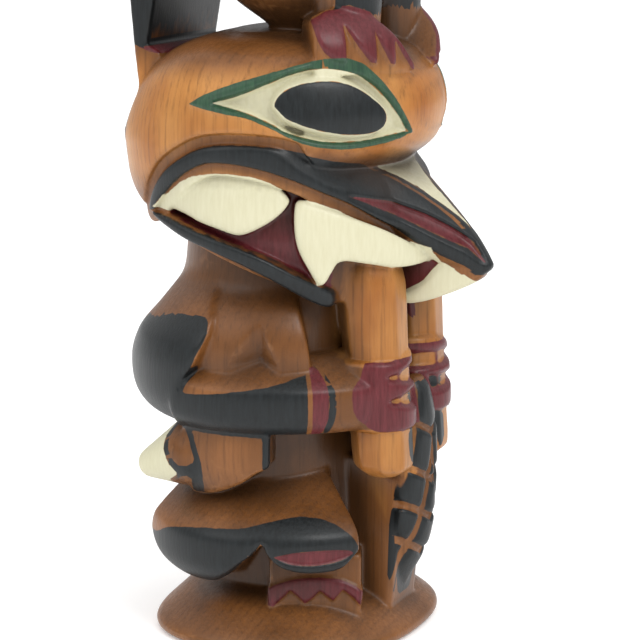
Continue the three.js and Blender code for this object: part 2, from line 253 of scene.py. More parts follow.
base = {
    "rings": [
        (0, 41.5, 42.5, 34.5, 2.5, 0), (1.5, 43, 44, 36, 2.5, 0), (3.8, 42.5, 43.5, 35.5, 2.5, 0),
        (7.5, 38.5, 39.5, 32, 2.4, 0), (12, 33, 34, 27, 2.2, 0), (15, 25, 26, 20, 2, 0),
        (17, 10, 10, 10, 2, 0)],
}
trunk = {
    "rings": [
        (8, 24, 24, 26), (34, 27, 26, 28), (50, 29, 25, 28), (62, 30, 25, 29), (72, 35, 25, 35),
        (84, 39, 26, 40), (94, 38, 27, 37), (104, 33, 28, 31), (116, 31, 28, 29), (134, 31, 28, 29)],
}
leg = {
    "reach": [
        (15, 33, 33, 30), (19, 39.5, 39.5, 36), (23, 44, 44, 39.5), (28, 46, 46, 41), (35, 46, 46, 40),
        (39, 43, 43, 37), (44, 36, 36, 33), (50, 28, 28, 28), (56, 22, 22, 22)],
    "outline": outline(
        (38, 58), [(38, 31.5)], [(41, 29), (46, 26), (57, 25.4), (66, 26.8), (71.5, 30), (74.6, 34.4)],
        [(79, 30.6), (84, 27.6), (89.3, 24), (96.5, 20.6), (107, 19.9), (114, 21), (126, 25), (136, 31)],
        [(138, 58)], [(38, 58)]),
    "black": outline(
        (38.6, 32.6),
        [(43, 37.2), (50, 40.3), (60, 41.3), (68, 40.7), (78, 39.2), (84, 38.2), (100, 37.3), (116, 35),
         (126, 32), (136, 31)],
        [(126, 24), (114, 19), (100, 19), (88, 22), (75, 34.6)],
        [(71, 29), (66, 26), (57, 24.6), (46, 25.2), (41, 28), (38.6, 32.6)]),
    "slit": outline(
        (70.5, 30.9), [(62, 32.2), (52, 32.5), (43, 31.9), (40.6, 30.8)],
        [(46, 29), (55, 28.1), (64, 28.7), (70.5, 30.9)]),
}
foot = {
    "degrees": 66.0, "reach": 34.0, "left": -4.9, "right": 22.0, "top": 27.5,
    "claws": outline(
        (-5.4, 17.4), [(-2, 19), (4, 20.4), (10, 20.7), (16, 20), (20.3, 18.2), (22.6, 16.4)],
        [(21.8, 12.3)], [(19.6, 14.8), (16.6, 17.2)], [(13.7, 13.7)], [(10, 16.8)],
        [(7.6, 14.6), (5.4, 12.9)], [(3.6, 14.9), (1.2, 16.9)], [(-1.4, 14.4), (-3.8, 12.2)],
        [(-5.4, 12.4)], [(-5.4, 17.4)]),
}


# Distances across the foot and along it.
def footFrame(side, forward):
    a = math.radians(foot["degrees"])
    return forward * math.sin(a) - side * math.cos(a), side * math.sin(a) + forward * math.cos(a)


part, z = rowsBetween(-3, 18)
join(part, stack(base["rings"], z))
part, z = rowsBetween(6, 136)
join(part, stack(trunk["rings"], z), 3.0)

part, z = rowsBetween(13, 58)
legMass = softMax(stack(leg["reach"], z), radial(leg["outline"], part), 1.6)
join(part, legMass + rise(radial(leg["slit"], part), 1.1, 1.0), 1.2)

part, z = rowsBetween(7, 32)
across, along = footFrame(sideGrid, forwardGrid)
middle = (foot["left"] + foot["right"]) / 2
half = (foot["right"] - foot["left"]) / 2
slopeFace = along - foot["reach"] + 0.10 * (z - 12) + 1.1
footBox = softMax(softMax(np.abs(across - middle) - half, slopeFace, 1.2),
                  np.maximum(18 - along, z - foot["top"]), 1.0)
footBox = softMax(footBox, 6 - z, 0.5)
claws = polygonDistance(foot["claws"], across, z)
footBox = footBox - rise(claws, 1.1, 0.7) * (along > 25)
join(part, footBox, 0.8)
print("base, trunk, legs and feet")

tail = {
    "rings": [
        (11, 5, 3, 8, 1.5, 34), (24, 8.5, 6, 8, 1.5, 38.5), (32, 10, 6.4, 8, 1.5, 40.6),
        (40, 11, 6.4, 8, 1.5, 41.4), (56, 11.5, 6.4, 7, 1.5, 41.6), (66, 11.5, 6, 6, 1.5, 41.2),
        (74, 10, 4.5, 4, 1.5, 41), (78, 8, 2, 2, 1.5, 41)],
    "pillar": [(18, 8), (38, 8), (40, 30), (40.5, 48), (30, 54), (18, 54)],
    "rows": [24.6, 35.4, 47, 61.5], "columns": [0.4, 9.2], "rowSlope": 0.55,
    "columnSlope": 0.22, "grooveHalf": 1.7, "grooveDepth": 2.2,
}


# Distance to the nearest of the grooves that cross the tail.
def tailLines(side, z):
    best = np.full(np.broadcast(side, z).shape, 9.0, np.float32)
    for row in tail["rows"]:
        best = np.minimum(best, np.abs(z - row - tail["rowSlope"] * side) * 0.88)
    for column in tail["columns"]:
        best = np.minimum(best, np.abs(side - column - tail["columnSlope"] * (56 - z)))
    return best


part, z = rowsBetween(5, 82)
pillar = softMax(sideView(tail["pillar"], part), sideGrid - 10.0 + 0 * z, 1.5)
join(part, pillar, 1.0)
plate = stack(tail["rings"], z)
lines = tailLines(sideGrid, z)
groove = np.clip(1 - lines / tail["grooveHalf"], 0, 1) * tail["grooveDepth"]
front = np.clip((forwardGrid - 37) / 3 + 0 * z, 0, 1)
join(part, plate + groove * front, 0.6)
print("tail")

stick = {
    "side": 14.0, "foot": (37.5, 52.0), "head": (32.5, 114.5),
    "widths": [
        (50.5, 4), (53, 8), (56, 9.0), (66, 9.2), (86, 9.6), (104, 10.2), (110, 9.9), (114, 8.6),
        (117, 6.5)],
}
arm = {
    "upperReach": [
        (64, 38, 38, 40), (68, 43, 43, 43.5), (74, 46, 46, 46), (82, 46.5, 46.5, 46.5),
        (88, 46, 46, 44.6), (92, 45, 45, 42), (97, 42, 43, 37.4), (102, 37.5, 38, 33.4),
        (107, 32, 32, 29.4), (112, 28, 28, 27)],
    "upper": outline(
        (109, 66), [(108, 78), (101, 86), (96.5, 94)], [(97, 98), (100, 102), (104, 112)], [(158, 112)],
        [(160, 90), (150, 76), (134, 69), (109, 66)]),
    "foreReach": [
        (64, 39, 39, 39), (67, 43.5, 43.5, 43), (71, 46, 46, 45.5), (78, 46, 46, 45.5),
        (80.5, 44.5, 44.5, 44), (84, 40, 40, 40), (88, 35, 35, 35)],
    "fore": outline((33, 66), [(33, 90)], [(70, 90), (92, 86), (112, 80)], [(114, 66)], [(33, 66)]),
    "black": outline(
        (57.9, 83.6), [(64, 82.2), (71.5, 80.7), (86, 78.7), (98, 77.3), (106, 76.8)],
        [(104.5, 80), (101.5, 86), (98.4, 91), (97, 94.6)],
        [(98.5, 97.6), (103, 99.4), (108, 99.9), (119, 99.2), (134, 97.4), (150, 94), (162, 86)],
        [(158, 79), (145, 72), (126, 66), (100, 65)], [(57.9, 65)], [(57.9, 83.6)]),
    "red": [
        (56.2, 64), (56.2, 85), (54.6, 85.4), (52, 84), (50.6, 81), (50.2, 76), (50.7, 71), (52, 67),
        (53.4, 64)],
    "cuff": [
        (53.4, 64), (52, 67), (50.7, 71), (50.2, 76), (50.6, 81), (52, 84), (54.6, 85.4), (52.6, 85.4),
        (49.6, 83), (47.9, 79.5), (47.5, 76), (47.8, 72), (49, 68), (51, 64)],
    "armpit": {"top": 98.6, "low": 86.0, "middle": 76.6, "back": 13.0, "front": 8.0, "depth": 5.0},
}
hand = {
    "radius": 11.2, "low": 65.5, "high": 86.0, "gaps": [74.4, 81.2],
    "gapDepth": 2.4,
    "red": [
        (12, 87), (5, 82.4), (1, 80.2), (0, 77), (0, 74), (1, 71.5), (4, 69), (9, 67.2), (19, 66.3),
        (40, 65)],
}


# How far forward a stick's axis is at a height: on a straight line from its foot to its head.
def stickMiddle(z):
    low, high = stick["foot"], stick["head"]
    return low[0] + (high[0] - low[0]) * (z - low[1]) / (high[1] - low[1])


# Degrees round the stick from straight out to the side, and the distance from its axis.
def handFrame(side, forward, z):
    s, f = side - stick["side"], forward - stickMiddle(z) + 1.0
    return np.degrees(np.arctan2(f, s)), np.hypot(s, f)


part, z = rowsBetween(62, 114)
upper = softMax(stack(arm["upperReach"], z), radial(arm["upper"], part), 1.2)
join(part, upper, 2.0)
chest = {
    "rings": [
        (76, 40, 36, 41), (86, 41.5, 37.5, 41.5), (94, 40.5, 37, 41), (100, 37.5, 34, 37),
        (106, 32, 29, 31), (110, 28, 26, 28)],
    "outline": outline((54, 76), [(56, 90), (62, 110)], [(106, 112)], [(106, 76)], [(54, 76)]),
}
breast = softMax(stack(chest["rings"], z), radial(chest["outline"], part), 1.6)
join(part, breast, 1.5)
pit = arm["armpit"]
turned = np.degrees(np.arctan2(sideGrid, forwardGrid)) - pit["middle"]
down = np.clip((pit["top"] - z) / (pit["top"] - pit["low"]), 0, 1)
share = np.clip(1 - np.abs(turned) / (np.where(turned > 0, pit["back"], pit["front"]) * down + 0.01), 0, 1)
inPit = (z > pit["low"] - 4) & (np.hypot(sideGrid, forwardGrid) > 33)
field[:, :, part] += share * down * pit["depth"] * inPit
part, z = rowsBetween(62, 90)
fore = softMax(stack(arm["foreReach"], z), radial(arm["fore"], part), 1.0)
join(part, fore, 0.8)

part, z = rowsBetween(48, 120)
rings = [(h, r, r, r, 2, stickMiddle(h)) for h, r in stick["widths"]]
join(part, stack(rings, z, stick["side"], facets=8, turn=0.35), 0.4)

part, z = rowsBetween(62, 90)
turnDeg, fromStick = handFrame(sideGrid, forwardGrid, z)
middleZ = (hand["low"] + hand["high"]) / 2
halfZ = (hand["high"] - hand["low"]) / 2
lift = 2.4 * np.clip((turnDeg - 75) / 40, 0, 1)
palm = softMax(fromStick - hand["radius"] - 0.6 * np.cos((z - middleZ) / halfZ * 1.4),
               np.abs(z - middleZ - lift / 2) - halfZ - lift / 2, 1.6)
for gap in hand["gaps"]:
    wedge = np.clip((turnDeg - 40) / 50, 0, 1)
    between = np.clip(1.5 - np.abs(z - gap) / (0.3 + 1.9 * wedge), 0, 1)
    palm = palm + between * np.clip(wedge * 5, 0, 1) * hand["gapDepth"] * (turnDeg > 40)
join(part, palm, 0.5)
print("arms, hands and sticks")

waist = {
    "reach": [
        (42, 36, 36, 36), (48, 40, 40, 40), (56, 42.5, 42.5, 42.5), (66, 42, 42, 42), (72, 40, 40, 40)],
    "outline": outline(
        (72, 72), [(72.6, 56)], [(78, 54), (86, 50), (100, 46), (112, 45)], [(112, 72)], [(72, 72)]),
    "cream": [
        (-19, 68), (-19.7, 65.5), (-22.1, 61.4), (-21.8, 58.1), (-19.6, 54.4), (-16.7, 51.4), (-20.3, 49),
        (-19.5, 36), (-48, 40), (-48, 66)],
    "band": [
        (-19.7, 66.5), (-22.1, 61.4), (-21.8, 58.1), (-19.6, 54.4), (-16.7, 51.4), (-20.3, 49),
        (-18.5, 47.6), (-16.5, 50.4), (-12, 51.6), (-13.5, 46), (-11, 45.5), (-8.2, 51), (-8.1, 55.6),
        (-10.6, 62.6), (-13.3, 67), (-15.3, 66.8), (-12.6, 62.4), (-10.6, 57), (-11.4, 54.6),
        (-15.6, 54.2), (-17.8, 55.8), (-19.8, 58.3), (-20.1, 61.6), (-18, 66.5)],
    "cheek": [(-13.8, 46.3), (-10.5, 49.7), (-8.2, 51), (-9, 46)],
    "from": (31.0, -14.0, 56.6), "to": (31.5, -29.0, 51.6),
    "radii": (10.8, 4.6), "dot": (-28.0, 50.7, 0.9), "line": 73.4,
}
part, z = rowsBetween(40, 73)
root = softMax(stack(waist["reach"], z), radial(waist["outline"], part), 1.2)
join(part, root, 1.0)
join(part, horn(waist["from"], waist["to"], waist["radii"], sideGrid, forwardGrid, z), 1.0)

head = {
    "rings": [
        (90, 34, 34, 32), (104, 38, 37, 36), (116, 41, 37, 40.5), (126, 43.5, 34, 44),
        (132, 44.4, 33, 45.2), (136.5, 45.4, 33, 46.5), (141, 46.4, 36, 47), (145, 46.9, 41.5, 47.4),
        (149, 47, 44.8, 47.6), (157, 47, 46.8, 44.3), (165, 46, 45, 39.5), (170, 44.5, 41.5, 34.5),
        (174, 42, 37, 28), (177, 36, 28, 20), (179, 25, 15, 12)],
    "snout": [
        (15, 33.5, 141.5), (7, 38, 139), (2.5, 42.3, 134.9), (2.3, 46.6, 132.2), (2.1, 50.9, 129.3),
        (2, 55, 126), (1.8, 59.2, 121.6), (1.6, 62.7, 116.8), (1.4, 65.2, 112.2), (22, 33.6, 132.8),
        (15.5, 40, 127.5), (12.5, 46.3, 123.8), (9.8, 51.5, 120.4), (7, 56.5, 117.9), (4.2, 61.4, 114.8),
        (2.4, 64.2, 112), (15, 41.5, 123), (12.2, 46.6, 119.6), (9.4, 51.2, 116.5), (6.4, 56.8, 113.4),
        (4, 60.4, 111.4), (2.2, 63.6, 110.2), (20, 20, 128), (12, 20, 141), (8, 20, 114)],
    "strip": ((0.8, 1, 1), (0, -2.4, -2.4)),
    "jaw": [(-60, 141.5), (60, 89), (60, 60), (-60, 60)],
    "upperLip": outline(
        (-27.5, 127.6),
        [(-24.5, 134), (-19.4, 140), (-13.3, 144.2), (-6.4, 147.6), (0, 149), (7.5, 149.3), (15.4, 148.7),
         (22.8, 147), (28, 145.2), (31.5, 143.8), (35, 142.8), (39, 141.5), (44, 139), (52, 133),
         (58, 126), (63, 120), (68, 112)],
        [(66.5, 109)],
        [(60.4, 111.4), (56.8, 113.4), (51.2, 116.4), (46.4, 119.4), (42.3, 123), (38, 127.4), (33, 132),
         (28.3, 135), (20.5, 139.3), (12.7, 142.3), (4.8, 143.8), (-2.6, 143.9), (-7.2, 142.4),
         (-12.9, 139.2), (-19.5, 133.4), (-23.3, 129.2), (-27.5, 127.6)]),
    "lowerLip": outline(
        (-27.5, 127.6),
        [(-18.4, 124), (-12, 121.5), (-4.4, 119.1), (3.1, 116.2), (7.2, 114.3), (13.9, 110.4),
         (20.7, 105.1), (25, 102.2)],
        [(27, 102.4), (27.9, 104.3)],
        [(27.2, 107), (23.9, 109.6), (19.2, 112.8), (12.8, 116.9), (5.7, 119.9), (-2.3, 122.5),
         (-10.7, 124.9), (-19.9, 127.3), (-27.5, 127.6)]),
    "lipFace": [
        (96, 36, 39, 36), (101, 38, 40.5, 38), (106, 40, 42, 40), (112, 43, 44, 42), (118, 45, 45, 43.2),
        (124, 46, 45, 44), (132, 46.5, 43.5, 45), (140, 46.8, 41.5, 46), (152, 46.8, 41.5, 46)],
    "mouth": [
        (-23, 129), (-20, 134), (-13, 139.6), (-6, 143), (4, 144), (13, 142.6), (24, 136.5), (33, 128.4),
        (38, 123.4), (44, 117.4), (51, 113), (58, 109.4), (70, 103), (70, 90), (36, 94), (27, 106),
        (19, 112.5), (6, 119.6), (-10, 124.8)],
    "mouthFloor": [
        (90, 34, 40, 34), (100, 35.5, 41, 35), (112, 37, 41, 36.5), (121, 39, 41, 38.5),
        (130, 37.5, 39, 37), (142, 39, 40, 39), (150, 39, 40, 39)],
    "rearTooth": outline(
        (122, 129.7),
        [(114, 133.6), (107, 137.2), (98, 140.2), (89, 140.9), (79, 140), (71, 138), (66, 135.6),
         (63.8, 133.4)],
        [(67, 130.2), (73, 126.8), (80.6, 124), (85, 123.6), (92, 125), (100, 126.4), (108, 128.2),
         (122, 129.7)]),
    "foreTooth": outline(
        (61.8, 133),
        [(59.4, 133.6), (49.7, 131.2), (38.6, 127.8), (28.1, 124.4), (18, 120.4), (10, 116.6),
         (5, 113.6)],
        [(16, 112.9), (24, 113.2), (33, 114.6), (42.5, 116), (46.2, 115.5)],
        [(48.5, 112.4), (50.6, 109.8), (53, 109.4), (57, 114), (60.7, 119.3), (62.2, 124.3), (62.4, 130),
         (61.8, 133)]),
    "toothFace": [
        (98, 42, 50, 40, 1.8, 0), (110, 43.5, 50, 42, 1.8, 0), (118, 44.4, 50, 43.5, 1.8, 0),
        (128, 45, 50, 44.5, 1.8, 0), (136, 44, 48, 43.5, 1.8, 0), (142, 41.5, 44, 41.5, 1.8, 0),
        (148, 38, 40, 38, 1.8, 0)],
    "frontTeeth": outline(
        (52, 113.2), [(50, 111.6), (47.6, 108.8), (45.6, 106.7), (40, 103.6)],
        [(40.2, 100.6), (45, 101), (51, 103), (58, 106), (62.3, 108.6), (63.4, 110.6)],
        [(60, 116), (52, 116)], [(52, 113.2)]),
    "palate": [(34, 121), (56, 116), (52, 109), (44, 103), (38, 102)],
    "rim": outline(
        (101, 160.2),
        [(94, 163.2), (84.6, 166.2), (74.2, 168.7), (63.9, 170.9), (53.3, 172.8), (43.4, 173.2),
         (35.8, 171.2), (29.8, 167.4), (25, 162.4), (20.7, 157.4), (14, 151.2)],
        [(20, 150), (28, 149), (39.3, 148.1), (50.5, 148.4), (60.8, 150.4), (70.7, 154.3), (79.1, 157),
         (89.7, 158.4), (101, 160.2)]),
    "socket": outline(
        (91.5, 160.8),
        [(82, 163), (71.4, 166.4), (62.5, 169), (51.2, 170.4), (40, 168.8), (33.5, 166), (28, 162),
         (22.6, 157), (16.3, 151.6)],
        [(26.7, 150.9), (35.5, 150.2), (45.2, 150), (54.1, 150.7), (64.4, 152.9), (71.3, 155.8),
         (80.1, 158.6), (91.5, 160.8)]),
    "pupil": ring([
        (69.3, 160.4), (66.9, 164), (60.4, 166.4), (50.5, 167.1), (42.3, 165.8), (35, 162.4), (29.4, 158),
        (29.8, 154), (35.5, 152.2), (46.4, 152.4), (57.3, 154.4), (66, 157.4)]),
    "grooveWidth": 3.3, "grooveDepth": 2.4, "rimRise": 0.9, "socketDepth": 4.0,
    "eyeballRise": 3.7, "nostrilHalf": 1.5, "nostrilDepth": 1.7,
    "underLip": 2.2, "palateHalf": 5.5,
    "toothHalf": ([40, 50, 60, 64], [7, 6, 4, 2.4]),
    "crease": (
        [10, 16, 22, 28.7, 33, 37, 40.5, 44, 50],
        [152, 147.4, 142.5, 138, 136.2, 133.2, 129.3, 124.8, 118]),
    "nostril": [
        (33, 134.4), (36.4, 132.6), (41.4, 129.3), (47.1, 126.2), (53.3, 122.4), (59.5, 118.4),
        (63.8, 113.2)],
    "bridge": (
        [110, 118, 122.3, 126, 129.4, 132.7, 137.8, 141.7, 144, 160],
        [0.6, 0.9, 1.6, 2.6, 4.2, 6.2, 10.5, 17, 24, 60]),
}


# How far to the side of the nose's bridge a place is: beyond zero is the painted side of the snout.
def snoutEdge(side, z):
    return side - np.interp(z, *head["bridge"]).astype(np.float32)


# Half width of the nostril's slit: its greatest by the sine of how far along it the place is.
def nostrilHalf(along):
    return head["nostrilHalf"] * np.clip(np.sin(along * math.pi), 0, 1) ** 0.8


# Distance to the hull of the snout's corners and their mirror image, scaled and then shifted.
def snoutBlock(side, forward, z, scale=(1, 1, 1), shift=(0, 0, 0)):
    corners = np.array(head["snout"])
    return hull(np.concatenate([corners, corners * [-1, 1, 1]]) * scale + shift, side, forward, z)


part, z = rowsBetween(86, 181)
face = stack(head["rings"], z)
snout = snoutBlock(sideGrid, forwardGrid, z)
strip = snoutBlock(sideGrid, forwardGrid, z, *head["strip"])
collar = stack(head["lipFace"], z)
lip = sideView(head["upperLip"], part)
skull = softMin(softMin(face, snout, 0.8), strip, 0.3)
skull = softMax(skull, -sideView(head["jaw"], part), 1.0)
mouth = sideView(head["mouth"], part)
skull = softMax(skull, softMin(stack(head["mouthFloor"], z), -mouth, 0.8), 0.5)
besideLip = np.clip((36 - forwardGrid) / 14, 0, 1)
offLip = head["grooveWidth"] - lip - 30 * (1 - besideLip)
skull = softMax(skull, softMin(face + head["grooveDepth"], offLip, 0.8), 0.4)
ridge = np.interp(forwardGrid, *head["crease"]).astype(np.float32)
lean = np.clip(z - ridge, 0, 12) * np.interp(forwardGrid, [12, 20, 30], [0, 0.42, 0.85]).astype(np.float32)
underLip = softMax(softMin(collar + 1.35 * lean, face, 0.5) + head["underLip"], lip - 3.8, 0.8)
skull = softMin(skull, underLip + 40 * (z < 114), 0.3)
upperLip = softMax(softMin(collar + lean, snout - 0.3, 1.5), lip, 1.2)
skull = softMin(skull, upperLip, 0.5)
lowerLip = softMax(stack(head["lipFace"], z), sideView(head["lowerLip"], part), 1.2)
skull = softMin(skull, lowerLip, 0.6)
toothFace = stack(head["toothFace"], z)
for name in ("rearTooth", "foreTooth"):
    tooth = radial(head[name], part)
    crown = toothFace + 0.9 * np.exp(tooth / 2.2)
    skull = np.minimum(skull, softMax(tooth, crown, 1.0))
palate = softMax(sideView(head["palate"], part), sideGrid - head["palateHalf"] + 0 * z, 1.4)
skull = np.minimum(skull, palate)
toothHalf = np.interp(forwardGrid, *head["toothHalf"]).astype(np.float32)
frontTeeth = softMax(sideView(head["frontTeeth"], part), sideGrid - toothHalf + 0 * z, 1.2)
skull = np.minimum(skull, frontTeeth)

arcOf = np.degrees(np.arctan2(sideGrid, forwardGrid)) * degree
rim = radial(head["rim"], part)
socket = radial(head["socket"], part)
pupil = radial(head["pupil"], part)
skull = skull - rise(rim, head["rimRise"], 0.9) + rise(socket, head["socketDepth"], 2.4)
skull = skull - rise(pupil - 0.9, head["eyeballRise"], 1.3)
slit, along = lineDistance(head["nostril"], forwardGrid[0], z[0])
slit = slit - nostrilHalf(along)
skull = skull + rise(slit[None] + np.where(sideGrid < 2, 3.0, 0.0), head["nostrilDepth"], 0.9)
bridge = np.abs(snoutEdge(sideGrid, z) - 0.4) - 0.1 + np.where((forwardGrid < 32) | (z < 122), 9, 0)
skull = skull + rise(bridge, 0.6, 0.7)
join(part, skull, 1.0)
print("beaver's head")

bird = {
    "body": [
        (168, 15, 12, 9, 2, 9), (178, 16, 13, 10, 2, 9), (188, 25, 24, 20, 2, 6), (202, 33, 30, 30, 2, 3),
        (225, 36, 33, 37, 2, 0), (250, 35, 32, 37, 2, 0), (268, 30, 28, 33, 2, 0),
        (280, 27, 27, 29, 2, 0)],
    "tail": [
        (-31, 236), (-38.5, 236), (-40, 190), (-38.4, 172), (-36, 152), (-28, 156), (-30, 172),
        (-34, 174), (-31.5, 188)],
    "tailHalf": 23.0,
    "shin": [(170, 9), (184, 9.5), (196, 10.5), (214, 11.5)],
    "wingReach": [
        (190, 36, 36, 36), (198, 39, 39, 39), (214, 42, 40, 42), (245, 44, 41, 44), (266, 41, 38, 41),
        (276, 33, 31, 34), (280, 28, 27, 29)],
    "wing": outline(
        (62, 250), [(66, 262), (76, 271), (100, 276), (128, 268), (142, 246), (150, 212)],
        [(147, 203), (141, 206)], [(134, 214)], [(129, 200), (123, 202)], [(117, 212)],
        [(111, 199), (104, 202)], [(99, 214)], [(86, 222), (72, 236), (62, 250)]),
    "footTop": (
        [0, 11.9, 21.4, 28.8, 38, 46.6, 54.5, 70], [168, 169.5, 178.5, 184, 186, 185.2, 182.5, 176]),
    "claws": outline(
        (56, 190), [(54.5, 180), (52, 175.5), (47.8, 172.8), (43.2, 172)], [(42.8, 182.6)],
        [(39.5, 178), (36, 174), (33, 171.6)], [(30.6, 171.3)], [(30.2, 180)],
        [(27.5, 175.4), (24.2, 171)], [(21.6, 170.6)], [(21.4, 177.7)], [(17.4, 173), (12.8, 168.9)],
        [(11, 168)], [(12, 174), (15, 181), (20, 190)], [(56, 190)]),
    "head": [
        (272, 26, 26, 28), (284, 32, 31, 33), (298, 35, 33.5, 35.5), (312, 35.5, 35, 35),
        (326, 33.5, 33.5, 33), (338, 28.5, 28.5, 29), (346, 20, 20, 21), (350, 9, 9, 10)],
    "beak": ring([
        (20, 314), (34, 311), (48, 304), (57, 294), (59, 283), (54, 281), (48, 287), (38, 290),
        (20, 290)]),
    "beakPlan": [
        (276, 8, 52, 4, 1.7, 8), (290, 14, 50, 4, 1.7, 8), (304, 13, 42, 4, 1.7, 8),
        (318, 9, 28, 4, 1.7, 8)],
    "rim": outline(
        (98, 312), [(86, 318.5), (72, 322.5), (52, 324), (38, 320), (28, 312)],
        [(38, 306), (52, 303.5), (72, 304.5), (98, 312)]),
    "hollow": outline(
        (90, 312.2), [(82, 316.5), (70, 319.5), (52, 320.8), (41, 317.5), (33, 312)],
        [(41, 308.5), (53, 306.4), (70, 307.4), (90, 312.2)]),
    "iris": {"middle": (57.0, 314.0), "half": (14.0, 5.6)},
    "rimRise": 1.3, "socketDepth": 3.0, "tailLine": 172.6, "shoulder": 262.0,
}


# How far out in the bird's iris a place is: the length of (degrees, height) over its half sizes.
def irisPlace(deg, z):
    iris = bird["iris"]
    return np.hypot((deg - iris["middle"][0]) / iris["half"][0], (z - iris["middle"][1]) / iris["half"][1])


part, z = rowsBetween(164, 284)
join(part, stack(bird["body"], z), 1.5)
part, z = rowsBetween(150, 240)
join(part, softMax(sideView(bird["tail"], part), sideGrid - bird["tailHalf"] + 0 * z, 1.2), 1.0)
part, z = rowsBetween(166, 218)
shin = [(h, r, r, r, 2, 26) for h, r in bird["shin"]]
join(part, stack(shin, z, 15.0), 1.0)

part, z = rowsBetween(164, 190)
deg = arcOf / degree
radius = np.hypot(sideGrid, forwardGrid)
top = np.interp(deg, *bird["footTop"]).astype(np.float32)
dome = softMax(radius - (44.2 - 0.10 * (z - 168) - 0.05 * np.maximum(z - 175, 0) ** 2), z - top, 2.0)
dome = softMax(dome, np.maximum(deg - 55, 11.5 - deg) * degree, 1.5)
dome = softMax(dome, softMax(24 - radius, 168.2 - z, 0.5), 0.5)
dome = dome - rise(radial(bird["claws"], part), 1.5, 0.8) * (radius > 36)
join(part, dome, 0.8)

part, z = rowsBetween(188, 282)
wing = softMax(stack(bird["wingReach"], z), radial(bird["wing"], part), 1.2)
join(part, wing, 0.6)

part, z = rowsBetween(270, 352)
crown = stack(bird["head"], z)
beak = softMax(sideView(bird["beak"], part), stack(bird["beakPlan"], z), 1.5)
crown = softMin(crown, beak, 1.5)
rim = radial(bird["rim"], part)
hollow = radial(bird["hollow"], part)
out = irisPlace(deg, z)
ball = np.where(out < 1, 2.0 * np.sqrt(np.clip(1 - out**2, 0, 1)) + 0.8, 0)
crown = crown - rise(rim, bird["rimRise"], 1.0) + rise(hollow, bird["socketDepth"], 1.6) - ball
join(part, crown, 1.5)
print("bird")


# The mean of each value, counted twice, and its two neighbours along an axis. Across the middle plane
# the neighbour is the mirror image.
def softened(values, axis):
    values = np.moveaxis(values, axis, 0)
    low = np.concatenate([values[1:2] if axis == 0 else values[:1], values[:-1]])
    high = np.concatenate([values[1:], values[-1:]])
    return np.moveaxis((low + high + 2 * values) / 4, 0, axis)


for axis in range(3):
    field = softened(field, axis)
whole = np.concatenate([field[:0:-1], field], axis=0)
volume = openvdb.FloatGrid()
volume.copyFromArray(np.ascontiguousarray(whole))
points, quads = volume.convertToQuads(isovalue=0.0)
points = points * cell + [-sides[-1], forwards[0], heights[0]]
places = np.stack([points[:, 0], -points[:, 1], np.maximum(points[:, 2], 0.0)], axis=1) / 1000
mesh = bpy.data.meshes.new("totemPole")
mesh.vertices.add(len(places))
mesh.vertices.foreach_set("co", places.astype(np.float32).ravel())
mesh.loops.add(quads.size)
mesh.loops.foreach_set("vertex_index", quads.astype(np.int32).ravel())
mesh.polygons.add(len(quads))
mesh.polygons.foreach_set("loop_start", np.arange(0, quads.size, 4, dtype=np.int32))
mesh.update(calc_edges=True)
pole = bpy.data.objects.new("totemPole", mesh)
bpy.context.collection.objects.link(pole)
thin = pole.modifiers.new("fewer faces", "DECIMATE")
thin.ratio = min(1.0, grid["triangles"] / (2 * len(quads)))
bare = bpy.data.meshes.new_from_object(pole.evaluated_get(bpy.context.evaluated_depsgraph_get()))
pole.modifiers.clear()
pole.data = bare
print("mesh of", len(bare.vertices), "points")

# Each colour is kept on the mesh as the distance in millimetres to the edge of its paint, below zero
# where painted, so that the edge stays sharp between the points.
count = len(bare.vertices)
at = np.empty(count * 3, np.float32)
bare.vertices.foreach_get("co", at)
at = at.reshape(-1, 3) * 1000
side, forward, z = np.abs(at[:, 0]), -at[:, 1], at[:, 2]
radius = np.hypot(side, forward)
deg = np.degrees(np.arctan2(side, forward))
arc = deg * degree
paints = {name: np.full(count, 9.0, np.float32) for name in ("black", "red", "green", "cream")}


# Distance to an outline in a chosen view, worked out only near it.
def areaIn(points, a, b, near):
    d = np.full(count, 9.0, np.float32)
    d[near] = np.minimum(polygonDistance(np.asarray(points, float), a[near], b[near]), 9.0)
    return d


# The same for an outline in degrees and height.
def wrappedArea(points, near):
    return areaIn(wrapped(points), arc, z, near)


# The same for an outline seen from the side, in distance forward and height.
def sideArea(points, near):
    return areaIn(points, forward, z, near)


# Paint where every one of the distances is below zero.
def lay(name, *limits):
    area = limits[0]
    for limit in limits[1:]:
        area = np.maximum(area, limit)
    paints[name] = np.minimum(paints[name], area)


# Paint an eye: green between rim and socket, cream round the eyeball, and the eyeball black.
def paintEye(rim, socket, ball):
    lay("green", rim, -socket)
    lay("cream", socket, -ball)
    lay("black", ball)


# Store one value for each point of the mesh, for the finish to read.
def keep(name, values):
    bare.attributes.new(name, "FLOAT", "POINT").data.foreach_set("value", values.astype(np.float32))


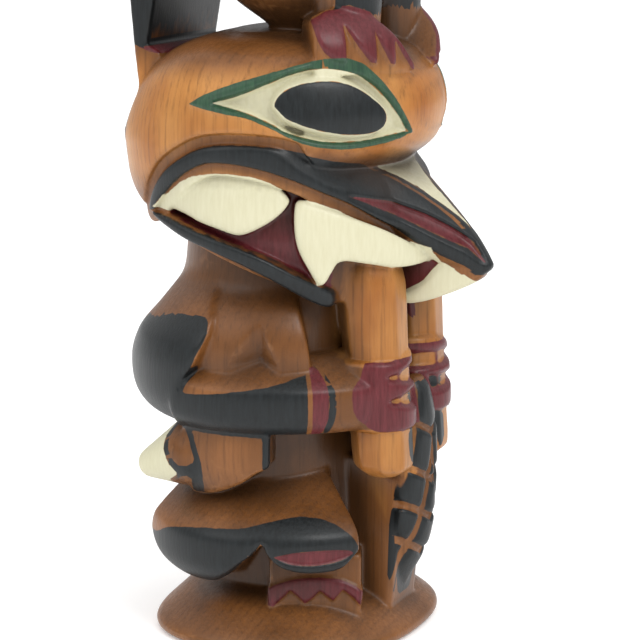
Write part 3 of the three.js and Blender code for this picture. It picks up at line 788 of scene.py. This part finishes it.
# beaver's head
near = (z > 145) & (z < 176) & (forward > -15) & (radius > 36)
paintEye(*(wrappedArea(head[name], near) for name in ("rim", "socket", "pupil")))
near = (z > 90) & (z < 152) & (radius > 30)
edge = snoutEdge(side, z)
offSnout = np.abs(snoutBlock(side, forward, z)) - 0.9
offCollar = loft(head["lipFace"], side, forward, z)
lipArea = sideArea(head["upperLip"], near & (radius > np.where(forward > 26, 35, 41)))
slit, along = lineDistance(head["nostril"], forward, z)
nostrilArea = np.maximum(slit - nostrilHalf(along), 2 - side)
onSnout = np.where((forward > 30) & (z > 100), -1.0, 9.0)
lay("black", lipArea, np.where(forward > 30, 1.7 - edge, -9.0), -nostrilArea)
lay("black", onSnout, offSnout, np.abs(edge + 0.7) - 0.95, 121 - z)
lay("black", onSnout, z - 123, 109.8 - z, side - 4, 56 - forward)
lay("red", nostrilArea, lipArea)
lay("cream", onSnout, offSnout, edge + 1.8, 120.5 - z)
lay("black", sideArea(head["lowerLip"], near & (radius > 36)))
offFace = np.abs(loft(head["toothFace"], side, forward, z)) - 2.4
lay("cream", wrappedArea(head["rearTooth"], near) - 0.5, offFace)
lay("cream", wrappedArea(head["foreTooth"], near) - 0.5, offFace, 5.9 - side)
frontArea = np.maximum(sideArea(head["frontTeeth"], near & (side < 9)) - 0.5, side - 9)
lay("cream", frontArea, z - 116.9 + 0.6 * (forward - 46.4))
mouthEdge = np.where(forward > 27, side - 5.8, offCollar + 3.0)
lay("red", sideArea(head["mouth"], near), -paints["black"], mouthEdge)

# arm, cuff and hand
near = (z > 60) & (z < 104) & (radius > 36)
lay("black", wrappedArea(arm["black"], near & (radius > 40)))
lay("red", wrappedArea(arm["red"], near))
lay("black", wrappedArea(arm["cuff"], near))
turnDeg, fromStick = handFrame(side, forward, z)
turns, levels = zip(*reversed(hand["red"]))
redEdge = np.interp(z, levels, turns)
lay("red", (redEdge - turnDeg) * 0.19, fromStick - np.where(turnDeg < 35, 17.5, 12.9),
    hand["low"] - 0.3 - z, z - hand["high"] - 0.4, 10.2 - fromStick)

# leg and foot
near = (z > 16) & (z < 46) & (radius > 34)
slitArea = wrappedArea(leg["slit"], near)
lay("black", wrappedArea(leg["black"], near), -slitArea, 36.5 - radius)
lay("red", slitArea)
across, along = footFrame(side, forward)
lay("red", areaIn(foot["claws"], across, z, (z > 8) & (z < 24) & (along > 28)), 31.2 - along)

# tail
lay("black", 1.0 - tailLines(side, z) + np.where((z > 12) & (z < 77), 0.0, 9.0),
    39.4 - forward - (z < 46) * (46 - z) * 0.16, side - 14)

# little head at the waist
near = (z > 38) & (z < 68) & (forward < -5) & (radius > 30)
offCone = horn(waist["from"], waist["to"], waist["radii"], side, forward, z) - 1.0
lay("cream", sideArea(waist["cream"], near), offCone)
lay("black", sideArea(waist["band"], near))
lay("black", sideArea(waist["cheek"], near))
dot = waist["dot"]
lay("black", np.hypot(forward - dot[0], z - dot[1]) - dot[2] + np.where(near, 0.0, 9.0))
lay("black", np.abs(deg - waist["line"]) * degree - 1.2, 55.5 - z, z - 68, 38 - radius)

# bird
near = (z > 165) & (z < 190) & (radius > 36) & (forward > 8)
lay("red", wrappedArea(bird["claws"], near), 37.5 - radius, z - np.interp(deg, *bird["footTop"]) - 1.2)
lay("red", np.abs(z - bird["tailLine"]) - 1.0, forward + 26, side - 23)
lay("black", np.where((z > 184) & (z < 216), -1.0, 9.0), 26.5 - forward,
    np.hypot(side - 15, forward - 26) - 13.5)
plank = np.where((forward < -31) & (z > 172) & (z < 238), -1.0, 9.0)
lay("black", plank - np.maximum(-forward - 31.0, 0), 20.6 - side)
lay("black", 37.2 + forward + np.where((z > 172) & (z < 238), 0.0, 9.0), side - 24)
near = (z > 195) & (z < 282) & (radius > 37)
wingArea = wrappedArea(bird["wing"], near)
lay("black", wingArea + 1.6, z - bird["shoulder"])
lay("red", wingArea + 1.6, bird["shoulder"] + 2 - z)
near = (z > 296) & (z < 330) & (forward > -12) & (radius > 24)
socketArea = wrappedArea(bird["hollow"], near)
irisArea = np.maximum((irisPlace(deg, z) - 1) * 5, socketArea)
paintEye(wrappedArea(bird["rim"], near), socketArea, irisArea)
beakArea = sideArea(bird["beak"], (z > 272) & (z < 320) & (forward > 30))
lay("black", beakArea, 37.5 - forward, z - 312)

paints["red"] = np.maximum(paints["red"], -paints["cream"])
paints["green"] = np.maximum(paints["green"], -paints["cream"])
paints["black"] = np.maximum(np.maximum(paints["black"], -paints["cream"]), -paints["red"])
for name, area in paints.items():
    keep(name, area)


# Mean over a cube of the given half width, by running sums along each axis.
def boxMean(values, cells):
    for axis in range(3):
        values = np.moveaxis(values, axis, 0)
        padded = np.concatenate([np.repeat(values[:1], cells + 1, 0), values,
                                 np.repeat(values[-1:], cells, 0)])
        sums = np.cumsum(padded, axis=0, dtype=np.float64)
        mean = (sums[2 * cells + 1:] - sums[:-2 * cells - 1]) / (2 * cells + 1)
        values = np.moveaxis(mean.astype(np.float32), 0, axis)
    return values


# Share of wood round each point within a reach: over a half in hollows, under it on edges.
def woodAround(reach):
    cells = max(1, round(reach / cell))
    mean = boxMean((whole < 0).astype(np.float32), cells)
    index = (at * [1, -1, 1] - [-sides[-1], forwards[0], heights[0]]) / cell
    index = np.clip(index.astype(int), 0, np.array(whole.shape) - 1)
    return mean[index[:, 0], index[:, 1], index[:, 2]]


# recess and deep measure how hollow each point is; the finish darkens hollows by them, as stain and painted
# shade
for name, reach in (("edge", 1.6), ("recess", 6.0), ("deep", 15.0)):
    keep(name, woodAround(reach))
pale = np.clip((z - 132) / 8, 0, 1) * np.clip((172 - z) / 6, 0, 1) * np.clip((radius - 38) / 5, 0, 1)
# beside the upper lip band the lighter face wood gives way to the darker body wood, partly stain and partly
# painted shade
pale = pale * np.clip((lipArea - 0.5) / 4.5, 0, 1)
pale = np.maximum(pale, 0.75 * (fromStick < 11.3) * (z > 50) * (z < 120) * (forward > 20))
keep("pale", pale)
print("paint")


# Linear values of an sRGB colour: c / 12.92 near black, and otherwise ((c + 0.055) / 1.055)^2.4.
def linear(hexColour):
    parts = [int(hexColour[i:i + 2], 16) / 255 for i in (1, 3, 5)]
    return tuple(p / 12.92 if p <= 0.04045 else ((p + 0.055) / 1.055) ** 2.4 for p in parts) + (1.0,)


# A node with its settings by name, and its inputs fed with values, colours or other outputs by slot. It
# gives one output. Slots: Mix takes a share in 0 and colours in 6 and 7, MapRange a value in 0, its
# range in 1 and 2 and the new range in 3 and 4, Mapping its scale in 3, and TexNoise its scale,
# detail and roughness in 2, 3 and 4.
def addNode(kind, feeds, out=0, **settings):
    node = tree.nodes.new("ShaderNode" + kind)
    for key, value in settings.items():
        setattr(node, key, value)
    for slot, value in feeds.items():
        if isinstance(value, bpy.types.NodeSocket):
            tree.links.new(value, node.inputs[slot])
        else:
            node.inputs[slot].default_value = linear(value) if isinstance(value, str) else value
    return node.outputs[out] if node.outputs else None


# Western red cedar, carved with knives, stained brown, painted in thin enamel and varnished. The
# varnish gives a soft satin sheen, the stain and painted shade make the hollows read deeper, and the
# grain shows wherever no paint lies.
finish = {
    "wood": "#83532A", "woodDeep": "#643C18",  # the stained body
    "pale": "#BC8142", "paleDeep": "#9C5C20",  # the cleaner wood of the face and the sticks
    # this dark brown is the wood stain on end grain and also painted shade in the hollows of wood and paint
    "stainAndShade": "#2F1D0E", "line": "#40250E", "worn": "#A9764A",
    "paints": {
        "black": ("#0F1213", "#1D2224"),
        "red": ("#4E171B", "#6A2A2F"),
        "green": ("#243F2F", "#38583F"),
        "cream": ("#CFCBAE", "#C7C2A2"),
    },
    "wander": 0.5,  # how far a brushed edge wanders, in millimetres
    "ring": 2.618,  # growth rings are drawn twice as wide as the real 1.3 mm, so that they show
}
colours = {"out": 2, "data_type": "RGBA"}
material = bpy.data.materials.new("carved cedar, stained, painted and varnished")
material.use_nodes = True
tree = material.node_tree
tree.nodes.clear()
surface = tree.nodes.new("ShaderNodeBsdfPrincipled")
addNode("OutputMaterial", {0: surface.outputs[0]})
place = addNode("TexCoord", {}, out="Object")
mm = addNode("Mapping", {0: place, 3: (1000, 1000, 1000)})
facing = addNode("SeparateXYZ", {0: addNode("NewGeometry", {}, out="Normal")}, out="Z")
ledge = addNode("Math", {0: facing}, operation="ABSOLUTE")
recess, deep, edgeShare, pale = (addNode("Attribute", {}, out="Fac", attribute_name=name)
                                 for name in ("recess", "deep", "edge", "pale"))

# wood: growth rings round a heart behind the pole (the sine of the length of (x + wander, y - 62)),
# fibres 0.8 mm across and 22 mm long, stain clouds of 20 by 40 mm, pores of about 1.2 mm that show
# as rough end grain on the ledges, and dark stain with painted shade in the hollows
clouds = addNode("TexNoise", {0: addNode("Mapping", {0: mm, 3: (0.05, 0.05, 0.025)}), 2: 1.0, 3: 3.0})
fibre = addNode("TexNoise", {0: addNode("Mapping", {0: mm, 3: (1.3, 1.3, 0.045)}), 2: 1.0, 3: 4.0, 4: 0.65})
speckle = addNode("TexNoise", {0: addNode("Mapping", {0: mm, 3: (0.8, 0.8, 0.8)}), 2: 1.0, 3: 4.0, 4: 0.7})
wander = addNode("TexNoise", {0: addNode("Mapping", {0: mm, 3: (0.03, 0.03, 0.006)}), 2: 1.0, 3: 2.0})
heart = addNode("CombineXYZ", {0: addNode("Math", {0: wander, 1: 14.0}, operation="MULTIPLY"), 1: -62.0})
flat = addNode("VectorMath", {0: mm, 1: (1, 1, 0)}, operation="MULTIPLY")
ringAt = addNode("VectorMath", {0: addNode("VectorMath", {0: flat, 1: heart}, operation="ADD")},
                 out="Value", operation="LENGTH")
wave = addNode("Math", {0: ringAt, 1: 2 * math.pi / finish["ring"]}, operation="MULTIPLY")
wave = addNode("Math", {0: wave}, operation="SINE")
share = addNode("MapRange", {0: clouds, 1: 0.38, 2: 0.66})
body = addNode("Mix", {0: share, 6: finish["wood"], 7: finish["woodDeep"]}, **colours)
share = addNode("MapRange", {0: clouds, 1: 0.4, 2: 0.7})
polished = addNode("Mix", {0: share, 6: finish["pale"], 7: finish["paleDeep"]}, **colours)
wood = addNode("Mix", {0: pale, 6: body, 7: polished}, **colours)
share = addNode("MapRange", {0: wave, 1: 0.1, 2: 1.0, 4: 0.3})
lines = addNode("MapRange", {0: fibre, 1: 0.36, 2: 0.66})
strong = addNode("MapRange", {0: fibre, 1: 0.5, 2: 0.75, 4: 0.25})
grain = addNode("Math", {0: share, 1: lines, 2: strong}, operation="MULTIPLY_ADD")
wood = addNode("Mix", {0: grain, 6: wood, 7: finish["line"]}, **colours)
share = addNode("MapRange", {0: ledge, 1: 0.4, 2: 0.75})
pores = addNode("MapRange", {0: speckle, 1: 0.36, 2: 0.62, 4: 0.25})
rough = addNode("Math", {0: share, 1: pores}, operation="MULTIPLY")
plain = addNode("Math", {0: 1.0, 1: pale}, operation="SUBTRACT")
rough = addNode("Math", {0: rough, 1: plain}, operation="MULTIPLY")
wood = addNode("Mix", {0: rough, 6: wood, 7: finish["stainAndShade"]}, **colours)
# painted shade: corners and deep hollows darken to the dark brown, together with the stain gathered there
soft = addNode("Math", {0: speckle, 1: 0.14, 2: recess}, operation="MULTIPLY_ADD")
hollow = addNode("MapRange", {0: deep, 1: 0.40, 2: 0.66, 4: 0.8})
corner = addNode("MapRange", {0: soft, 1: 0.56, 2: 0.80, 4: 0.7})
dark = addNode("Math", {0: corner, 1: hollow}, operation="MAXIMUM")
wood = addNode("Mix", {0: dark, 6: wood, 7: finish["stainAndShade"]}, **colours)
rubbed = addNode("MapRange", {0: edgeShare, 1: 0.36, 2: 0.22, 4: 0.3})
wood = addNode("Mix", {0: rubbed, 6: wood, 7: finish["worn"]}, **colours)

# paint: each colour where its stored distance is below zero, with an edge that wanders as a brush
# does over 3 mm, streaked along strokes 1 mm wide and 8 mm long, darkened by grime and painted shade in
# deep hollows, and chipped in specks on sharp edges
sway = addNode("TexNoise", {0: addNode("Mapping", {0: mm, 3: (0.35, 0.35, 0.3)}), 2: 1.0, 3: 2.0})
streak = addNode("TexNoise", {0: addNode("Mapping", {0: mm, 3: (1.0, 1.0, 0.12)}), 2: 1.0, 3: 3.0, 4: 0.6})
streak = addNode("MapRange", {0: streak, 1: 0.3, 2: 0.8})
colour = wood
middle = finish["wander"] / 2
# grime and painted shade: paint in deep hollows darkens towards the dark brown
grimeAndShade = addNode("MapRange", {0: deep, 1: 0.47, 2: 0.70, 4: 0.8})
for name, (dull, brushed) in finish["paints"].items():
    distance = addNode("Attribute", {}, out="Fac", attribute_name=name)
    distance = addNode("Math", {0: sway, 1: finish["wander"], 2: distance}, operation="MULTIPLY_ADD")
    cover = addNode("MapRange", {0: distance, 1: middle + 0.1, 2: middle - 0.1})
    paint = addNode("Mix", {0: streak, 6: dull, 7: brushed}, **colours)
    paint = addNode("Mix", {0: grimeAndShade, 6: paint, 7: finish["stainAndShade"]}, **colours)
    colour = addNode("Mix", {0: cover, 6: colour, 7: paint}, **colours)
sharp = addNode("MapRange", {0: edgeShare, 1: 0.26, 2: 0.18, 4: 0.6})
specks = addNode("MapRange", {0: speckle, 1: 0.60, 2: 0.68})
chips = addNode("Math", {0: sharp, 1: specks}, operation="MULTIPLY")
colour = addNode("Mix", {0: chips, 6: colour, 7: finish["worn"]}, **colours)
tree.links.new(colour, surface.inputs["Base Color"])
gloss = addNode("MapRange", {0: streak, 3: 0.34, 4: 0.42})
gloss = addNode("Math", {0: rough, 1: 0.4, 2: gloss}, operation="MULTIPLY_ADD")
tree.links.new(gloss, surface.inputs["Roughness"])
surface.inputs["Coat Weight"].default_value = 0.06
surface.inputs["Specular IOR Level"].default_value = 0.3
surface.inputs["Coat Roughness"].default_value = 0.2
relief = addNode("Math", {0: fibre, 1: 0.3}, operation="MULTIPLY")
relief = addNode("Math", {0: speckle, 1: rough, 2: relief}, operation="MULTIPLY_ADD")
relief = addNode("Math", {0: streak, 1: 0.1, 2: relief}, operation="MULTIPLY_ADD")
tree.links.new(addNode("Bump", {0: 0.4, 1: 0.0005, "Height": relief}), surface.inputs["Normal"])
bare.materials.append(material)
bare.polygons.foreach_set("use_smooth", np.ones(len(bare.polygons), bool))
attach(pole, "root")
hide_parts("totem_pole")
print("finish")

floor = bpy.data.meshes.new("floor")
floor.from_pydata([(-3, -3, 0), (3, -3, 0), (3, 3, 0), (-3, 3, 0)], [], [(0, 1, 2, 3)])
floorObject = bpy.data.objects.new("floor", floor)
bpy.context.collection.objects.link(floorObject)
paper = bpy.data.materials.new("white paper backdrop")
paper.use_nodes = True
sheet = paper.node_tree.nodes["Principled BSDF"].inputs
sheet["Base Color"].default_value = linear("#FAFAFA")
sheet["Roughness"].default_value = 0.9
sheet["Emission Color"].default_value = (1, 1, 1, 1)
sheet["Emission Strength"].default_value = 0.2
floor.materials.append(paper)

# a white room, brighter above than at the horizon, and plain white to the camera
world = bpy.data.worlds.new("studio")
world.use_nodes = True
sky = world.node_tree.nodes["Background"]
tree = world.node_tree
upwardness = addNode("SeparateXYZ", {0: addNode("TexCoord", {}, out="Generated")}, out="Z")
glow = addNode("MapRange", {0: upwardness, 1: -0.1, 2: 1.0, 3: 0.35, 4: 1.35})
seen = addNode("LightPath", {}, out="Is Camera Ray")
tree.links.new(addNode("Math", {0: glow, 1: seen}, operation="MAXIMUM"), sky.inputs["Strength"])
sky.inputs["Color"].default_value = (1, 1, 1, 1)
bpy.context.scene.world = world
bpy.context.scene.view_settings.view_transform = "Standard"
lamps = {  # name: place in metres, width, watts
    "key": ((-0.55, -0.95, 1.05), 0.6, 8.0),
    "side": ((-0.95, 0.55, 0.75), 0.8, 2.5),
}
for name, (spot, width, watts) in lamps.items():
    lamp = bpy.data.lights.new(name, "AREA")
    lamp.size = width
    lamp.energy = watts
    lampObject = bpy.data.objects.new(name, lamp)
    lampObject.location = spot
    lampObject.rotation_euler = (Vector((0, 0, 0.12)) - Vector(spot)).to_track_quat("-Z", "Y").to_euler()
    bpy.context.collection.objects.link(lampObject)

view = {  # degrees, metres and millimetres of lens
    "azimuth": -66.0, "elevation": 11.5, "distance": 0.720, "lens": 135.0,
    "aside": 0.0099, "height": 0.091,
}
around, above = math.radians(view["azimuth"]), math.radians(view["elevation"])
rightward = np.array([math.cos(around), math.sin(around), 0])
inward = np.array([math.sin(around), -math.cos(around), 0])
backward = inward * math.cos(above) + [0, 0, math.sin(above)]
upward = np.cross(backward, rightward)
place = rightward * view["aside"] + [0, 0, view["height"]] + backward * view["distance"]
camera = bpy.data.cameras.new("camera")
camera.lens = view["lens"]
camera.sensor_width = 36.0
cameraObject = bpy.data.objects.new("camera", camera)
rows = [[rightward[i], upward[i], backward[i], place[i]] for i in range(3)]
cameraObject.matrix_world = Matrix([*rows, [0, 0, 0, 1]])
bpy.context.collection.objects.link(cameraObject)
bpy.context.scene.camera = cameraObject
